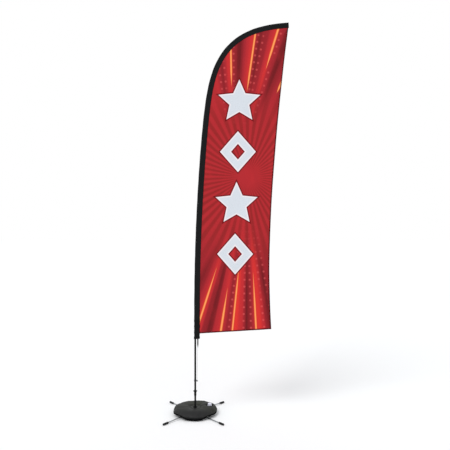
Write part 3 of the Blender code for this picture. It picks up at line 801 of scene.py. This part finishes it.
def make_legs():
    span = LEG_REACH - HUB_INNER
    tilt = atan((UPPER_LEG_HEIGHT - BOOT_RADIUS) / span)
    raised = BOOT_RADIUS * cos(tilt) + span * tan(tilt)
    legs = (("upper_right", LEG_ANGLE, raised, tilt, "stand"),
            ("upper_left", LEG_ANGLE + 180.0, raised, tilt, "stand"),
            ("lower_right", -LEG_ANGLE, BOOT_RADIUS, 0.0, "lower_cross"),
            ("lower_left", 180.0 - LEG_ANGLE, BOOT_RADIUS, 0.0, "lower_cross"))
    for tag, angle, height, slope, body in legs:
        lie = leg_frame(angle, height, slope)
        length = span / cos(slope)
        end = length - 0.0053
        rod = [
            (0.0, end), *arc(LEG_RADIUS - 0.0008, end - 0.0008, 0.0008, 90, 0),
            *[(LEG_RADIUS, end * k / 12) for k in range(11, 0, -1)],
            *arc(LEG_RADIUS - 0.0008, 0.0008, 0.0008, 0, -90), (0.0, 0.0)]
        turned("leg_tube_" + tag, rod, 40, CHROME, body, "chromed_steel", "leg_rod_" + tag, at=lie)

        start = length - BOOT_LENGTH
        boot = [(0.0, length)] + arc(BOOT_RADIUS - 0.003, length - 0.003, 0.003, 90, 0, 6)
        for k in range(9):
            z = length - 0.0075 - 0.0052 * k
            boot += [(BOOT_RADIUS, z + 0.0012), (BOOT_RADIUS - 0.0008, z + 0.0006),
                     (BOOT_RADIUS - 0.0008, z - 0.0006), (BOOT_RADIUS, z - 0.0012)]
        boot += [
            (BOOT_RADIUS, start + 0.0105), (BOOT_RADIUS - 0.0022, start + 0.006),
            *arc(BOOT_RADIUS - 0.003, start + 0.002, 0.002, 50, -90, 6), (LEG_RADIUS + 0.0004, start),
            (LEG_RADIUS + 0.0003, start + 0.003), (LEG_RADIUS + 0.0003, length - 0.005),
            (0.0, length - 0.005)]
        turned("leg_foot_" + tag, boot, 40, RUBBER, body, "black_rubber", "leg_boot_" + tag, at=lie)


# ---- stem, bearing housing, spindle and lower pole ----
def make_stem():
    """The stem, with a fine bead of knurling round the top of its flared foot."""
    def bead(angle, radius, z):
        raised = smooth_step(0.0445, 0.0425, z) * smooth_step(0.041, 0.0418, z)
        return radius + 0.00035 * cos(34 * angle) * raised

    profile = [
        (0.0105, 0.1998), (0.0105, 0.12), (0.0105, 0.048), (0.0107, 0.0464), (0.0115, 0.0448),
        (0.013, 0.0436), (0.0145, 0.043), (0.016, 0.0426), (0.0167, 0.042), (0.017, 0.0412),
        (0.017, 0.0394), (0.0166, 0.0389), (0.0087, 0.0389), (0.0087, 0.1998)]
    turned("stem_body", profile, 64, BLACK_PAINT, "stand", "black_paint", "stem_tube", closed=True,
           bulge=bead)


def make_housing():
    top = 0.2424
    profile = [(0.0116, top)] + arc(0.0127, top - 0.0008, 0.0008, 90, 0, 4)
    for z in (0.236, 0.23):
        profile += [(0.0135, z + 0.0007), (0.013, z + 0.0004), (0.013, z - 0.0004), (0.0135, z - 0.0007)]
    profile += [(0.0135, 0.2092), (0.0134, 0.208), (0.0129, 0.2062), (0.012, 0.203), (0.0116, 0.2008),
                (0.0112, 0.2004), (0.0081, 0.2004), (0.0081, 0.2305), (0.0115, 0.2305)]
    turned("housing_body", profile, 64, BLACK_PAINT, "stand", "black_paint", "bearing_housing",
           closed=True)


def make_spindle():
    """The spindle that the pole stands on, grooved above and knurled round its flange."""
    def knurl(angle, radius, z):
        return radius + (0.00035 * cos(54 * angle) if radius > 0.0205 else 0.0)

    profile = [(0.0, 0.38), (0.006, 0.3799), (0.007, 0.3792), (0.0076, 0.3776)]
    for z in (0.36, 0.305):
        profile += [(0.0076, z + 0.0011), (0.006, z + 0.001), (0.006, z - 0.001), (0.0076, z - 0.0011)]
    profile += [(0.0076, 0.258), (0.0077, 0.2575), (0.0084, 0.2574), (0.019, 0.2574), (0.0201, 0.257),
                (0.0206, 0.2562), (0.0206, 0.2493), (0.0201, 0.2485), (0.019, 0.2481), (0.0062, 0.2481),
                (0.0061, 0.2395), (0.0039, 0.2394), (0.0039, 0.2102), (0.0032, 0.2102), (0.0032, 0.2078),
                (0.0039, 0.2078), (0.0039, 0.2048), (0.0036, 0.2045), (0.0, 0.2045)]
    turned("spindle_body", profile, 108, BLACK_PAINT, "spindle", "black_paint", "spindle", bulge=knurl)


def make_lower_pole():
    low, high = 0.2601, 1.4
    profile = [
        (TUBE_BORE + 0.0002, low), (TUBE_RADIUS - 0.0003, low), (TUBE_RADIUS, low + 0.0004),
        *[(TUBE_RADIUS, low + (high - low) * k / 24) for k in range(1, 24)],
        (TUBE_RADIUS, high - 0.0004), (TUBE_RADIUS - 0.0003, high), (TUBE_BORE + 0.0002, high),
        (TUBE_BORE, high - 0.0004), (TUBE_BORE, low + 0.0004)]
    sides = 48

    def place(i, j):
        radius, s = profile[j % len(profile)]
        angle = tau * i / sides
        return centre(s) + outward(s) * (radius * cos(angle)) + Vector((0, radius * sin(angle), 0))

    mesh = grid_mesh("pole_tube_lower", sides, len(profile), place, wrap=True)
    clean(mesh)
    piece(mesh, POLE_BLACK, "pole", "black_anodised", "pole_section_1")


# ---- tension cord ----
CORD_TOP = Vector((0.029, 0.0, 0.7537))
CORD_FOOT = Vector((0.021, 0.0, 0.3675))
CORD_RADIUS = 0.002
BALL_RADIUS = 0.0055


def make_tab():
    """The webbing tab: down its front, round the cord's top end and up its back, with stitches."""
    half, wall, bottom, top = 0.007, 0.001, 0.7545, 0.836
    route = [
        *[(-wall * 0.9, top - (top - bottom) * k / 22) for k in range(22)],
        *[(0.0009 * cos(a), bottom + 0.0012 * sin(a)) for a in np.linspace(pi, tau, 8)],
        *[(wall * 0.9, bottom + (top - bottom) * (k + 1) / 22) for k in range(22)]]
    columns = 8

    def place(i, j):
        y, z = route[j]
        waist = 1.0 - 0.34 * smooth_step(0.772, 0.757, z)
        swell = 1.0 + 1.5 * smooth_step(0.775, 0.762, z)
        return (CORD_TOP.x + half * waist * (2.0 * i / columns - 1.0), y * swell, z)

    mesh = grid_mesh("webbing_tab", columns, len(route) - 1, place,
                     uvs={"cloth": lambda i, j: (0.014 * i / columns, 0.0037 * j)})
    thicken(piece(mesh, WEBBING, "pole", "black_cloth", "sleeve_tab"), 0.0009)
    for side, y in (("front", -0.0016), ("back", 0.0016)):
        make_stitches("tab_stitch_" + side, [
            (CORD_TOP.x + half * 0.72 * cos(a), y, 0.813 + 0.008 * sin(a))
            for a in np.linspace(0, tau, 29)], "pole")


def make_cord():
    """The elastic cord from the tab down to the bead that hooks under the clamp."""
    path = []
    for share in np.linspace(0.0, 1.0, 64):
        point = CORD_TOP.lerp(CORD_FOOT, share)
        point.x = CORD_FOOT.x + (CORD_TOP.x - CORD_FOOT.x) * (1.0 - share) ** 1.5
        path.append(point)
    sides = 16

    def tube(i, j):
        angle = tau * i / sides
        rib = CORD_RADIUS + 0.00012 * sin(j * 2.1) * cos(4 * angle)
        return path[j] + Vector((rib * cos(angle), rib * sin(angle), 0.0))

    mesh = grid_mesh("bungee_braid", sides, len(path) - 1, tube, wrap=True,
                     uvs={"cloth": lambda i, j: (0.0008 * i, 0.0061 * j)})
    clean(mesh, caps=True)
    cord = add_object(mesh, CORD_GREY)
    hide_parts("bungee_cord")
    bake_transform(cord)

    ferrule = [
        (0.0023, 0.0), *arc(0.0031, 0.0008, 0.0008, -90, 0, 3), *arc(0.0031, 0.0092, 0.0008, 0, 90, 3),
        (0.0023, 0.01)]
    ferrule = turned("cord_ferrule", ferrule, 32, BLACK_PLASTIC, "pole", "black_plastic", closed=True,
                     at=Matrix.Translation((0.0288, 0.0, 0.74)))

    middle = CORD_FOOT.z - BALL_RADIUS - 0.0003
    bead = [(0.0, BALL_RADIUS * 0.97)] + arc(0.0, 0.0, BALL_RADIUS, 76, -76, 22) + [(0.0, -BALL_RADIUS)]
    ball = turned("tension_bead", bead, 40, BLACK_PLASTIC, "tension_ball", "black_plastic",
                  "tension_ball", at=Matrix.Translation((CORD_FOOT.x, 0.0, middle)))
    length = length_of(path)


# ---- water ring ----
RING_OUTER = 0.233
RING_INNER = 0.045
RING_RISE = 0.036
INNER_WELD = 0.05
RING_SIDES = 168
RING_ROWS = 44
TOP_LIMIT = 0.088
COLLAR_CLEAR = 0.0415
UNDER_LIP = 0.0704
UNDER_FLANGE = 0.0771
SIM_FRAMES = 20
SIM_CAP = 0.006
CLOTH = {"quality": 6, "mass": 0.3, "tension_stiffness": 12.0, "compression_stiffness": 12.0,
         "shear_stiffness": 4.0, "bending_stiffness": 0.25, "tension_damping": 8.0, "air_damping": 3.0,
         "shrink_min": -0.045, "use_pressure": True, "uniform_pressure_force": 2.5,
         "vertex_group_mass": "weld"}


def lobes(angle, power, *middles):
    """1 at the angles in middles, falling away to either side, the sharper the higher the power."""
    return sum(max(0.0, cos(angle - radians(a))) ** power for a in middles)


def corner(angle):
    """1 at the two bulged corners beside the front legs, 0 elsewhere."""
    return lobes(angle, 40, -19.0, 199.0)


def rim_radius(angle):
    over_leg = lobes(angle, 60, LEG_ANGLE, -LEG_ANGLE, 180.0 + LEG_ANGLE, 180.0 - LEG_ANGLE)
    wave = 0.0016 * sin(5 * angle + 0.7) + 0.0012 * sin(9 * angle + 2.0)
    return RING_OUTER + 0.0065 * corner(angle) - 0.0045 * over_leg + wave


def rim_height(angle):
    """The welded rim: low in front, over the legs, drooping at the corners, high at the back."""
    wave = 0.0014 * sin(6 * angle + 1.0) + 0.0007 * sin(17 * angle)
    from_front = abs((degrees(angle) + 270.0) % 360.0 - 180.0)
    height = 0.0175 + 0.0225 * smooth_step(16.0, 44.0, from_front)
    height += 0.0195 * smooth_step(76.0, 122.0, from_front)
    return height - 0.005 * corner(angle) + wave


def slack(angle):
    """1 round the ring away from the filler, where it lies flatter."""
    away = abs((degrees(angle - atan2(NECK_XY[1], NECK_XY[0])) + 180.0) % 360.0 - 180.0)
    return smooth_step(20.0, 50.0, away)


def underside(x, y):
    """The lowest the ring may hang: over the upper legs and the swing of the lower ones."""
    radius = hypot(x, y)
    angle = radians(LEG_ANGLE)
    off_upper = abs(x * sin(angle) - y * cos(angle))
    slope = (UPPER_LEG_HEIGHT - BOOT_RADIUS) / (LEG_REACH - HUB_INNER)
    upper_top = UPPER_LEG_HEIGHT + LEG_RADIUS + 0.0012 - slope * (radius - HUB_INNER)
    azimuth = abs(degrees(atan2(abs(y), abs(x))) - 90.0)
    sag = smooth_step(90.0 - LEG_ANGLE - 2.0, 18.0, azimuth)
    floor = 0.0195 - (0.0195 - 0.005) * sag
    return upper_top + (floor - upper_top) * smooth_step(0.034, 0.07, off_upper)


def ring_point(i, j):
    """i runs round the ring, and j round its section: under from the rim, then back over the top."""
    angle = tau * i / RING_SIDES
    turn = -tau * j / RING_ROWS
    c, s = cos(turn), sin(turn)
    flat = slack(angle)
    drop = flat * (0.003 + 0.009 * max(0.0, sin(angle)))
    full = 3.6 if c < 0 else 2.25 - 0.4 * flat
    power = 2.0 / (full if s > 0 else 2.5)
    c = copysign(abs(c) ** power, c)
    s = copysign(abs(s) ** power, s)
    outer = rim_radius(angle)
    radius = (outer + RING_INNER) / 2 + (outer - RING_INNER) / 2 * c
    x, y = radius * cos(angle), radius * sin(angle)
    share = smooth_step(RING_INNER, outer, radius)
    rim = INNER_WELD + (rim_height(angle) - INNER_WELD) * share
    if s > 0:
        return Vector((x, y, rim + (BAG_MIDDLE + RING_RISE - drop - rim) * s))
    return Vector((x, y, rim - (rim - underside(x, y) - 0.001) * -s))


def keep_clear(point):
    """Hold a point of the ring off the legs, the floor, the collar and the filler's flange."""
    point.z = max(point.z, underside(point.x, point.y) + 0.0004)
    point.z = min(point.z, TOP_LIMIT)
    radius = hypot(point.x, point.y)
    if radius < COLLAR_CLEAR:
        point.x *= COLLAR_CLEAR / radius
        point.y *= COLLAR_CLEAR / radius
    if radius < 0.06:
        point.z = min(point.z, UNDER_LIP)
    away = hypot(point.x - NECK_XY[0], point.y - NECK_XY[1])
    if point.z > 0.064:
        seat = UNDER_FLANGE + (point.z - UNDER_FLANGE) * smooth_step(0.0245, 0.038, away)
        point.z = min(point.z, seat)
    return point


def simulate(made):
    """Let the coated sheet swell and buckle between its welded edges, then cap how far it moved."""
    pins = made.vertex_groups.new(name="weld")
    for j in (0, RING_ROWS // 2):
        pins.add([j * RING_SIDES + i for i in range(RING_SIDES)], 1.0, "REPLACE")
    cloth = add_modifier(made, "CLOTH")
    set_all(cloth.settings, CLOTH)
    cloth.settings.effector_weights.gravity = 0.0
    cloth.collision_settings.use_collision = False
    cloth.point_cache.frame_start = 1
    cloth.point_cache.frame_end = SIM_FRAMES
    scene = bpy.context.scene
    for frame_number in range(1, SIM_FRAMES + 1):
        scene.frame_set(frame_number)
    moved = made.evaluated_get(bpy.context.evaluated_depsgraph_get()).to_mesh()
    ended = [v.co.copy() for v in moved.vertices]
    made.modifiers.remove(cloth)
    made.vertex_groups.remove(pins)
    scene.frame_set(1)
    for vert, last in zip(made.data.vertices, ended):
        shift = last - vert.co
        if shift.length > SIM_CAP:
            shift *= SIM_CAP / shift.length
        vert.co += shift


def make_ring():
    mesh = grid_mesh("ring_shell", RING_SIDES, RING_ROWS,
                     lambda i, j: ring_point(i, j % RING_ROWS), wrap=True)
    clean(mesh)
    ring = piece(mesh, RING_PVC, "water_bag", "black_pvc", "weight_bag")
    simulate(ring)
    for vert in mesh.vertices:
        dent = noise.noise(vert.co * 13.0) * 0.0022 + noise.noise(vert.co * 37.0) * 0.0007
        vert.co.z += dent
        vert.co = keep_clear(vert.co)
    add_modifier(ring, "SUBSURF", levels=1, render_levels=1)
    mesh.update()
    return ring


def surface_of(made):
    """A function that gives the height of a piece's upper side at (x, y)."""
    shown = bpy.context.evaluated_depsgraph_get()
    tree = BVHTree.FromObject(made.evaluated_get(shown), shown)

    def top(x, y):
        hit = tree.ray_cast(Vector((x, y, 0.3)), Vector((0, 0, -1)))
        return hit[0].z if hit[0] else BAG_MIDDLE
    return top


def band(name, paint, radius_at, height_at, section, flutter=0.0, sides=336):
    """A welded band round the ring. section lists (outwards, up) points of a closed outline."""
    count = len(section)
    reach = max(r for r, z in section)

    def place(i, j):
        angle = tau * i / sides
        out, up = section[j % count]
        share = max(0.0, out) / reach
        wave = sin(41 * angle + 3.0 * sin(4 * angle)) + 0.6 * sin(23 * angle)
        radius = radius_at(angle) + out + flutter * 0.3 * share * sin(29 * angle)
        return (radius * cos(angle), radius * sin(angle), height_at(angle) + up + flutter * share * wave)

    mesh = grid_mesh(name, sides, count, place, wrap=True)
    clean(mesh)
    return piece(mesh, paint, "water_bag", "black_pvc")


def make_piping():
    """The welded bands round the ring's rim and round its hole."""
    section = [(-0.006, 0.0042), (-0.0034, 0.0054), (0.0, 0.0058), (0.0034, 0.0054), (0.0056, 0.0042),
               (0.0068, 0.0022), (0.0072, 0.0)]
    section += [(r, -z) for r, z in reversed(section[:-1])]
    # near-black piping: the welded band is real, and its depth of black is partly painted shade along the
    # rim
    band("ring_outer_weld", WELD_PVC, rim_radius, rim_height, section, 0.0008)
    inner = [(-r * 0.42, z * 0.4) for r, z in section]
    band("ring_inner_weld", WELD_PVC, lambda a: RING_INNER, lambda a: INNER_WELD, inner, sides=120)


def make_collar():
    """The collar that lines the ring's hole, with a soft flap that closes in on the stem."""
    lip, edge, bore, flap = 0.0735, 0.0404, 0.0375, 0.024
    profile = [
        (flap, lip - 0.0012), (flap + 0.0006, lip - 0.0008), (0.031, lip - 0.0002), (0.0365, lip),
        (bore + 0.0012, lip + 0.0004), (0.0455, lip + 0.0004), (0.0462, lip), (0.048, lip),
        (0.0487, lip + 0.0003), *arc(0.0551, lip - 0.0007, 0.0009, 90, -90, 6),
        (edge + 0.0008, lip - 0.0017), (edge, lip - 0.0024), (edge, 0.0442), (edge - 0.0006, 0.044),
        (bore + 0.0006, 0.044), (bore, 0.0446), (bore, lip - 0.0024), (0.0365, lip - 0.0016),
        (0.031, lip - 0.0018), (flap + 0.0006, lip - 0.0022), (flap, lip - 0.0018)]
    turned("collar_lip", profile, 96, COLLAR_PVC, "water_bag", "black_plastic", "bag_collar", closed=True)


def make_filler_patch(top):
    """The patch welded round the filler. top(x, y) is the ring's height."""
    steps, rows = 72, 6
    patch_inner, patch_outer = 0.0252, 0.0372

    def patch(i, j):
        angle = tau * i / steps
        radius = patch_inner + (patch_outer - patch_inner) * j / rows
        x = NECK_XY[0] + radius * cos(angle)
        y = NECK_XY[1] + radius * sin(angle)
        return (x, y, top(x, y) + 0.0006)

    mesh = grid_mesh("filler_patch", steps, rows, patch, wrap=True)
    thicken(piece(mesh, WELD_PVC, "water_bag", "black_pvc"), 0.0009)


def make_filler_neck():
    """The filler's flange and its threaded neck."""
    profile = [
        (0.0142, 0.0796), *arc(0.0232, 0.0789, 0.0007, 90, 0, 3),
        *arc(0.0232, 0.0787, 0.0007, 0, -90, 3), (0.0142, 0.078)]
    turned("filler_ring", profile, 72, CAP_WHITE, "water_bag", "white_plastic", "filler_flange",
           closed=True, at=NECK_SEAT)

    pitch = 0.006

    def thread(angle, radius, z):
        if radius < 0.016:
            return radius
        phase = ((z - 0.0825) / pitch - angle / tau) % 1.0
        ridge = max(0.0, 1.0 - abs(phase - 0.5) * 4.2) ** 0.7
        return radius + 0.0009 * ridge * smooth_step(0.082, 0.0835, z) * smooth_step(0.097, 0.0955, z)

    profile = [
        (0.0144, 0.0974), (0.0162, 0.0974), *[(0.0166, 0.0975 - 0.00045 * k) for k in range(1, 38)],
        (0.0164, 0.0799), (0.0142, 0.0799), (0.014, 0.0803), (0.014, 0.097)]
    turned("filler_thread", profile, 96, CAP_WHITE, "water_bag", "white_plastic", "filler_neck",
           closed=True, bulge=thread, at=NECK_SEAT)


def make_cap():
    """The filler's cap, ribbed round its side for grip."""
    def ribs(angle, radius, z):
        if radius < 0.02 or z > 0.101 or z < 0.082:
            return radius
        return radius - 0.0007 * (0.5 - 0.5 * cos(36 * angle)) ** 2

    low, high = 0.0805, 0.1025
    profile = [
        (0.0, high - 0.0009), (0.012, high - 0.0009), (0.013, high - 0.0006), (0.0136, high),
        *arc(0.0195, high - 0.0012, 0.0012, 90, 20, 5), (0.0208, 0.1008), (0.021, 0.1), (0.021, 0.094),
        (0.021, 0.088), (0.021, 0.0825), (0.0208, 0.0818), (0.021, 0.081), (0.0206, low), (0.0184, low),
        (0.0182, low + 0.0004), (0.0182, 0.0998), (0.0178, 0.1002), (0.0, 0.1002)]
    turned("cap_ribbed", profile, 288, CAP_WHITE, "cap", "white_plastic", "filler_cap", bulge=ribs,
           at=NECK_SEAT)


def make_strap(top):
    """The fastening strap in front of the hole, its stitches and its press stud."""
    long_steps, wide_steps = 26, 8
    half_long, half_wide, middle_y = 0.0215, 0.015, -0.0745

    def strap(i, j):
        along = 2.0 * j / long_steps - 1.0
        across = 2.0 * i / wide_steps - 1.0
        narrow = 1.0 - 0.16 * abs(along) ** 6
        x, y = half_long * along, middle_y + half_wide * across * narrow
        hump = 0.003 * (cos(along * pi / 2) * cos(across * pi / 2)) ** 0.7
        return (x, y, top(x, y) + 0.0011 + hump)

    mesh = grid_mesh("strap_webbing", wide_steps, long_steps, strap,
                     uvs={"cloth": lambda i, j: (0.0028 * i, 0.0017 * j)})
    thicken(piece(mesh, WEBBING, "water_bag", "black_plastic", "closing_strap"), 0.0013)
    for side in (-1, 1):
        line = []
        for k in range(33):
            turn = tau * k / 32
            x = side * 0.016 + 0.0032 * copysign(abs(cos(turn)) ** 0.5, cos(turn))
            y = middle_y + 0.0085 * copysign(abs(sin(turn)) ** 0.5, sin(turn))
            line.append((x, y, top(x, y) + 0.0022))
        make_stitches("strap_stitch_" + ("left" if side < 0 else "right"), line, "water_bag")

    profile = [
        (0.0, 0.0046), (0.0022, 0.0045), (0.0045, 0.0041), (0.0062, 0.0034), (0.0072, 0.0024),
        (0.0076, 0.0016), (0.008, 0.0016), (0.0085, 0.0012), (0.0085, 0.0003), (0.0, 0.0003)]
    tilt = atan2(top(0.0, middle_y + 0.006) - top(0.0, middle_y - 0.006), 0.012)
    lie = Matrix.Translation((0.0, middle_y, top(0.0, middle_y) + 0.003)) @ Matrix.Rotation(tilt, 4, "X")
    turned("press_stud", profile, 48, BLACK_PAINT, "water_bag", "black_paint", "strap_stud", at=lie)


# ---- camera, light and floor ----
SKY_STRENGTH = 0.82
SUN_STRENGTH = 1.05
SUN_SOFTNESS = 28.0
SUN_FROM = (-0.45, -0.5, 0.8)
CAMERA_AT = (0.332, -5.64, 2.105)
LENS_MM = 40.42
FLOOR_REACH = 60.0


def make_stage():
    scene = bpy.context.scene
    scene.view_settings.view_transform = "Standard"

    camera = bpy.data.cameras.new("camera")
    camera.lens = LENS_MM
    camera.sensor_width = 36.0
    scene.camera = add_object(camera)
    scene.camera.location = CAMERA_AT
    scene.camera.rotation_euler = (radians(90.0), 0.0, 0.0)

    world = bpy.data.worlds.new("studio")
    world.use_nodes = True
    scene.world = world
    tree = world.node_tree
    sky = tree.nodes["Background"]
    sky.inputs["Color"].default_value = (1.0, 1.0, 1.0, 1.0)
    sky.inputs["Strength"].default_value = 1.0
    dim = add_node(tree, "Background", [("Color", (0.96, 0.98, 1.0, 1.0)), ("Strength", SKY_STRENGTH)])
    seen = add_node(tree, "LightPath").outputs["Is Camera Ray"]
    choose = add_node(tree, "MixShader", [(0, seen), (1, dim.outputs[0]), (2, sky.outputs[0])])
    tree.links.new(choose.outputs[0], tree.nodes["World Output"].inputs["Surface"])

    sun = bpy.data.lights.new("softbox", "SUN")
    sun.energy = SUN_STRENGTH
    sun.angle = radians(SUN_SOFTNESS)
    add_object(sun).rotation_euler = Vector(SUN_FROM).to_track_quat("Z", "Y").to_euler()

    mesh = bpy.data.meshes.new("floor")
    corners = [(x * FLOOR_REACH, y * FLOOR_REACH, 0.0) for x, y in ((-1, -1), (1, -1), (1, 1), (-1, 1))]
    mesh.from_pydata(corners, [], [(0, 1, 2, 3)])
    pale = Paint("floor_pale", (0.97, 0.97, 0.97, 1.0), 0.95, Specular_IOR_Level=0.0)
    floor = add_object(mesh, pale.material)


make_stage()
paint_cad()
panel = make_panel()
hems = make_hems()
sleeve, cuff, pocket = make_sleeve()
make_tab()
make_cord()
make_lower_pole()
make_stem()
make_housing()
make_spindle()
make_legs()
ring = make_ring()
top_of_ring = surface_of(ring)
make_piping()
make_collar()
make_filler_patch(top_of_ring)
make_filler_neck()
make_cap()
make_strap(top_of_ring)
